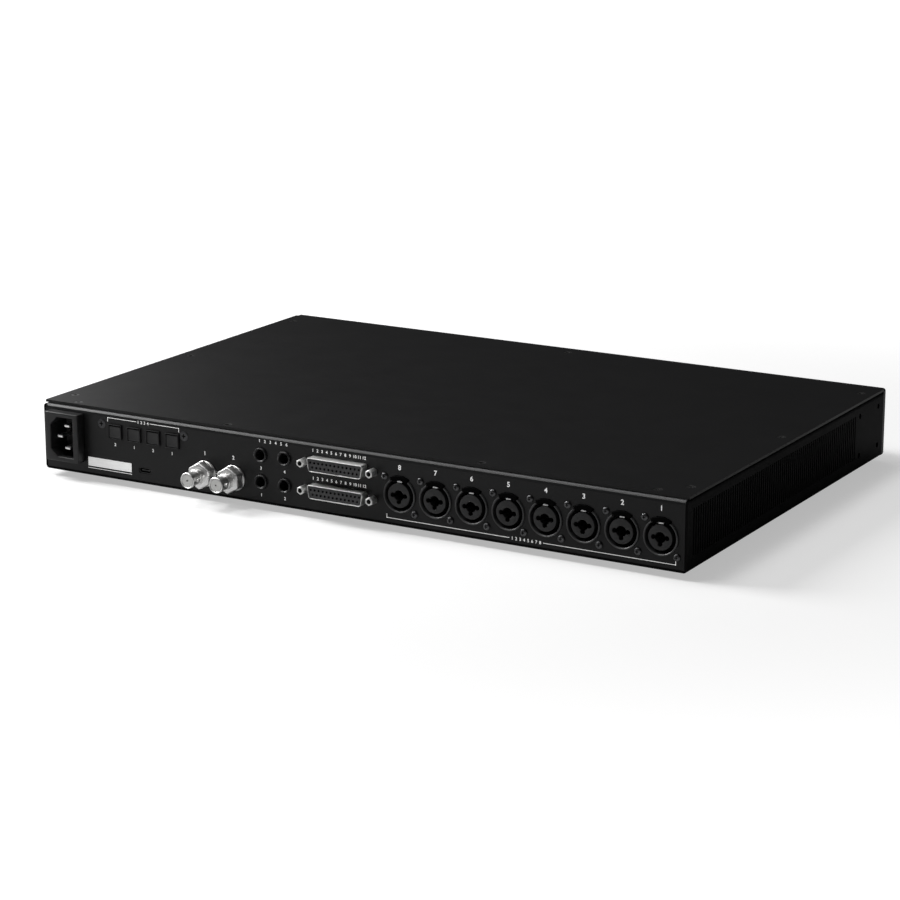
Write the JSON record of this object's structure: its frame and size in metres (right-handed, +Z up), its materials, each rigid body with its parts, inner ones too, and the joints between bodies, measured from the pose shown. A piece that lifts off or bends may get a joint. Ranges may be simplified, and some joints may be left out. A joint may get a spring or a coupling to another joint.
{
  "type": "rack audio interface",
  "caption": "One-unit rack audio interface: folded black steel case, connector panel with combination sockets, latches, shutters and multi-way sockets, front knobs and buttons.",
  "frame": {"origin": "middle of the rectangle under the feet, on the surface the part stands on", "axes": "+Z up, +Y out of the connector panel, +X to the mains inlet end"},
  "size_m": [0.4372, 0.325, 0.0473],
  "materials": {
    "tray_coat": "satin black powder coat",
    "panel_coat": "satin black powder coat with white print",
    "cover_coat": "satin black powder coat",
    "fascia": "black anodised",
    "foot_rubber": "matt",
    "socket_plastic": "satin moulded",
    "latch_plastic": "satin moulded",
    "nickel": "bright nickel plate",
    "jack_plastic": "satin moulded",
    "tin_plate": "tin plate",
    "insulator": "matt moulded",
    "optical_plastic": "satin moulded",
    "shutter_plastic": "satin moulded",
    "inlet_plastic": "satin moulded",
    "socket_steel": "drawn",
    "board_laminate": "solder mask",
    "knob_plastic": "satin moulded",
    "button_plastic": "satin moulded"
  },
  "bodies": {
    "case": {"base_tray": "tray_coat", "bnc_jack_1": "nickel", "bnc_jack_2": "nickel", "combo_socket_1": "socket_plastic", "combo_socket_2": "socket_plastic", "combo_socket_3": "socket_plastic", "combo_socket_4": "socket_plastic", "combo_socket_5": "socket_plastic", "combo_socket_6": "socket_plastic", "combo_socket_7": "socket_plastic", "combo_socket_8": "socket_plastic", "control_board": "board_laminate", "dsub_insulator_1": "insulator", "dsub_insulator_2": "insulator", "dsub_shell_1": "tin_plate", "dsub_shell_2": "tin_plate", "foot_1": "foot_rubber", "foot_2": "foot_rubber", "foot_3": "foot_rubber", "foot_4": "foot_rubber", "front_panel": "fascia", "line_jack_1": "jack_plastic", "line_jack_2": "jack_plastic", "main_board": "board_laminate", "mains_inlet": "inlet_plastic", "optical_block": "optical_plastic", "phones_jack": "jack_plastic", "power_board": "board_laminate", "rear_panel": "panel_coat", "top_cover": "cover_coat", "usb_socket": "socket_steel"},
    "combo_latch_1": {"combo_latch_1": "latch_plastic"},
    "combo_latch_2": {"combo_latch_2": "latch_plastic"},
    "combo_latch_3": {"combo_latch_3": "latch_plastic"},
    "combo_latch_4": {"combo_latch_4": "latch_plastic"},
    "combo_latch_5": {"combo_latch_5": "latch_plastic"},
    "combo_latch_6": {"combo_latch_6": "latch_plastic"},
    "combo_latch_7": {"combo_latch_7": "latch_plastic"},
    "combo_latch_8": {"combo_latch_8": "latch_plastic"},
    "function_button_1": {"function_button_1": "button_plastic"},
    "function_button_2": {"function_button_2": "button_plastic"},
    "function_button_3": {"function_button_3": "button_plastic"},
    "function_button_4": {"function_button_4": "button_plastic"},
    "gain_knob_1": {"gain_knob_1": "knob_plastic"},
    "gain_knob_2": {"gain_knob_2": "knob_plastic"},
    "gain_knob_3": {"gain_knob_3": "knob_plastic"},
    "gain_knob_4": {"gain_knob_4": "knob_plastic"},
    "gain_knob_5": {"gain_knob_5": "knob_plastic"},
    "gain_knob_6": {"gain_knob_6": "knob_plastic"},
    "gain_knob_7": {"gain_knob_7": "knob_plastic"},
    "gain_knob_8": {"gain_knob_8": "knob_plastic"},
    "monitor_knob": {"monitor_knob": "knob_plastic"},
    "optical_shutter_1": {"optical_shutter_1": "shutter_plastic"},
    "optical_shutter_2": {"optical_shutter_2": "shutter_plastic"},
    "optical_shutter_3": {"optical_shutter_3": "shutter_plastic"},
    "optical_shutter_4": {"optical_shutter_4": "shutter_plastic"},
    "phones_knob_1": {"phones_knob_1": "knob_plastic"},
    "phones_knob_2": {"phones_knob_2": "knob_plastic"},
    "power_button": {"power_button": "button_plastic"}
  },
  "joints": [
    {"name": "combo_latch_1_press", "type": "slide", "parent": "case", "child": "combo_latch_1", "axis": [0, -1, 0], "range_m": [0, 0.0015], "stiffness_N_per_m": 600},
    {"name": "combo_latch_2_press", "type": "slide", "parent": "case", "child": "combo_latch_2", "axis": [0, -1, 0], "range_m": [0, 0.0015], "stiffness_N_per_m": 600},
    {"name": "combo_latch_3_press", "type": "slide", "parent": "case", "child": "combo_latch_3", "axis": [0, -1, 0], "range_m": [0, 0.0015], "stiffness_N_per_m": 600},
    {"name": "combo_latch_4_press", "type": "slide", "parent": "case", "child": "combo_latch_4", "axis": [0, -1, 0], "range_m": [0, 0.0015], "stiffness_N_per_m": 600},
    {"name": "combo_latch_5_press", "type": "slide", "parent": "case", "child": "combo_latch_5", "axis": [0, -1, 0], "range_m": [0, 0.0015], "stiffness_N_per_m": 600},
    {"name": "combo_latch_6_press", "type": "slide", "parent": "case", "child": "combo_latch_6", "axis": [0, -1, 0], "range_m": [0, 0.0015], "stiffness_N_per_m": 600},
    {"name": "combo_latch_7_press", "type": "slide", "parent": "case", "child": "combo_latch_7", "axis": [0, -1, 0], "range_m": [0, 0.0015], "stiffness_N_per_m": 600},
    {"name": "combo_latch_8_press", "type": "slide", "parent": "case", "child": "combo_latch_8", "axis": [0, -1, 0], "range_m": [0, 0.0015], "stiffness_N_per_m": 600},
    {"name": "function_button_1_press", "type": "slide", "parent": "case", "child": "function_button_1", "axis": [0, 1, 0], "range_m": [0, 0.0008], "stiffness_N_per_m": 600},
    {"name": "function_button_2_press", "type": "slide", "parent": "case", "child": "function_button_2", "axis": [0, 1, 0], "range_m": [0, 0.0008], "stiffness_N_per_m": 600},
    {"name": "function_button_3_press", "type": "slide", "parent": "case", "child": "function_button_3", "axis": [0, 1, 0], "range_m": [0, 0.0008], "stiffness_N_per_m": 600},
    {"name": "function_button_4_press", "type": "slide", "parent": "case", "child": "function_button_4", "axis": [0, 1, 0], "range_m": [0, 0.0008], "stiffness_N_per_m": 600},
    {"name": "gain_knob_1_turn", "type": "hinge", "parent": "case", "child": "gain_knob_1", "pos_m": [-0.1816, -0.1435, 0.0258], "axis": [0, -1, 0], "range_deg": [-150, 150]},
    {"name": "gain_knob_2_turn", "type": "hinge", "parent": "case", "child": "gain_knob_2", "pos_m": [-0.1566, -0.1435, 0.0258], "axis": [0, -1, 0], "range_deg": [-150, 150]},
    {"name": "gain_knob_3_turn", "type": "hinge", "parent": "case", "child": "gain_knob_3", "pos_m": [-0.1316, -0.1435, 0.0258], "axis": [0, -1, 0], "range_deg": [-150, 150]},
    {"name": "gain_knob_4_turn", "type": "hinge", "parent": "case", "child": "gain_knob_4", "pos_m": [-0.10661, -0.1435, 0.0258], "axis": [0, -1, 0], "range_deg": [-150, 150]},
    {"name": "gain_knob_5_turn", "type": "hinge", "parent": "case", "child": "gain_knob_5", "pos_m": [-0.0816, -0.1435, 0.0258], "axis": [0, -1, 0], "range_deg": [-150, 150]},
    {"name": "gain_knob_6_turn", "type": "hinge", "parent": "case", "child": "gain_knob_6", "pos_m": [-0.05661, -0.1435, 0.0258], "axis": [0, -1, 0], "range_deg": [-150, 150]},
    {"name": "gain_knob_7_turn", "type": "hinge", "parent": "case", "child": "gain_knob_7", "pos_m": [-0.03161, -0.1435, 0.0258], "axis": [0, -1, 0], "range_deg": [-150, 150]},
    {"name": "gain_knob_8_turn", "type": "hinge", "parent": "case", "child": "gain_knob_8", "pos_m": [-0.0066, -0.1435, 0.0258], "axis": [0, -1, 0], "range_deg": [-150, 150]},
    {"name": "monitor_knob_turn", "type": "hinge", "parent": "case", "child": "monitor_knob", "pos_m": [0.09639, -0.1435, 0.0258], "axis": [0, -1, 0], "range_deg": [-150, 150]},
    {"name": "optical_shutter_1_swing", "type": "hinge", "parent": "case", "child": "optical_shutter_1", "pos_m": [0.16426, 0.1439, 0.0369], "axis": [-1, 0, 0], "range_deg": [0, 80], "stiffness_Nm_per_rad": 0.004},
    {"name": "optical_shutter_2_swing", "type": "hinge", "parent": "case", "child": "optical_shutter_2", "pos_m": [0.1501, 0.1439, 0.0369], "axis": [-1, 0, 0], "range_deg": [0, 80], "stiffness_Nm_per_rad": 0.004},
    {"name": "optical_shutter_3_swing", "type": "hinge", "parent": "case", "child": "optical_shutter_3", "pos_m": [0.13595, 0.1439, 0.0369], "axis": [-1, 0, 0], "range_deg": [0, 80], "stiffness_Nm_per_rad": 0.004},
    {"name": "optical_shutter_4_swing", "type": "hinge", "parent": "case", "child": "optical_shutter_4", "pos_m": [0.1218, 0.1439, 0.0369], "axis": [-1, 0, 0], "range_deg": [0, 80], "stiffness_Nm_per_rad": 0.004},
    {"name": "phones_knob_1_turn", "type": "hinge", "parent": "case", "child": "phones_knob_1", "pos_m": [0.1314, -0.1435, 0.0258], "axis": [0, -1, 0], "range_deg": [-150, 150]},
    {"name": "phones_knob_2_turn", "type": "hinge", "parent": "case", "child": "phones_knob_2", "pos_m": [0.1544, -0.1435, 0.0258], "axis": [0, -1, 0], "range_deg": [-150, 150]},
    {"name": "power_button_press", "type": "slide", "parent": "case", "child": "power_button", "axis": [0, 1, 0], "range_m": [0, 0.0008], "stiffness_N_per_m": 600}
  ]
}
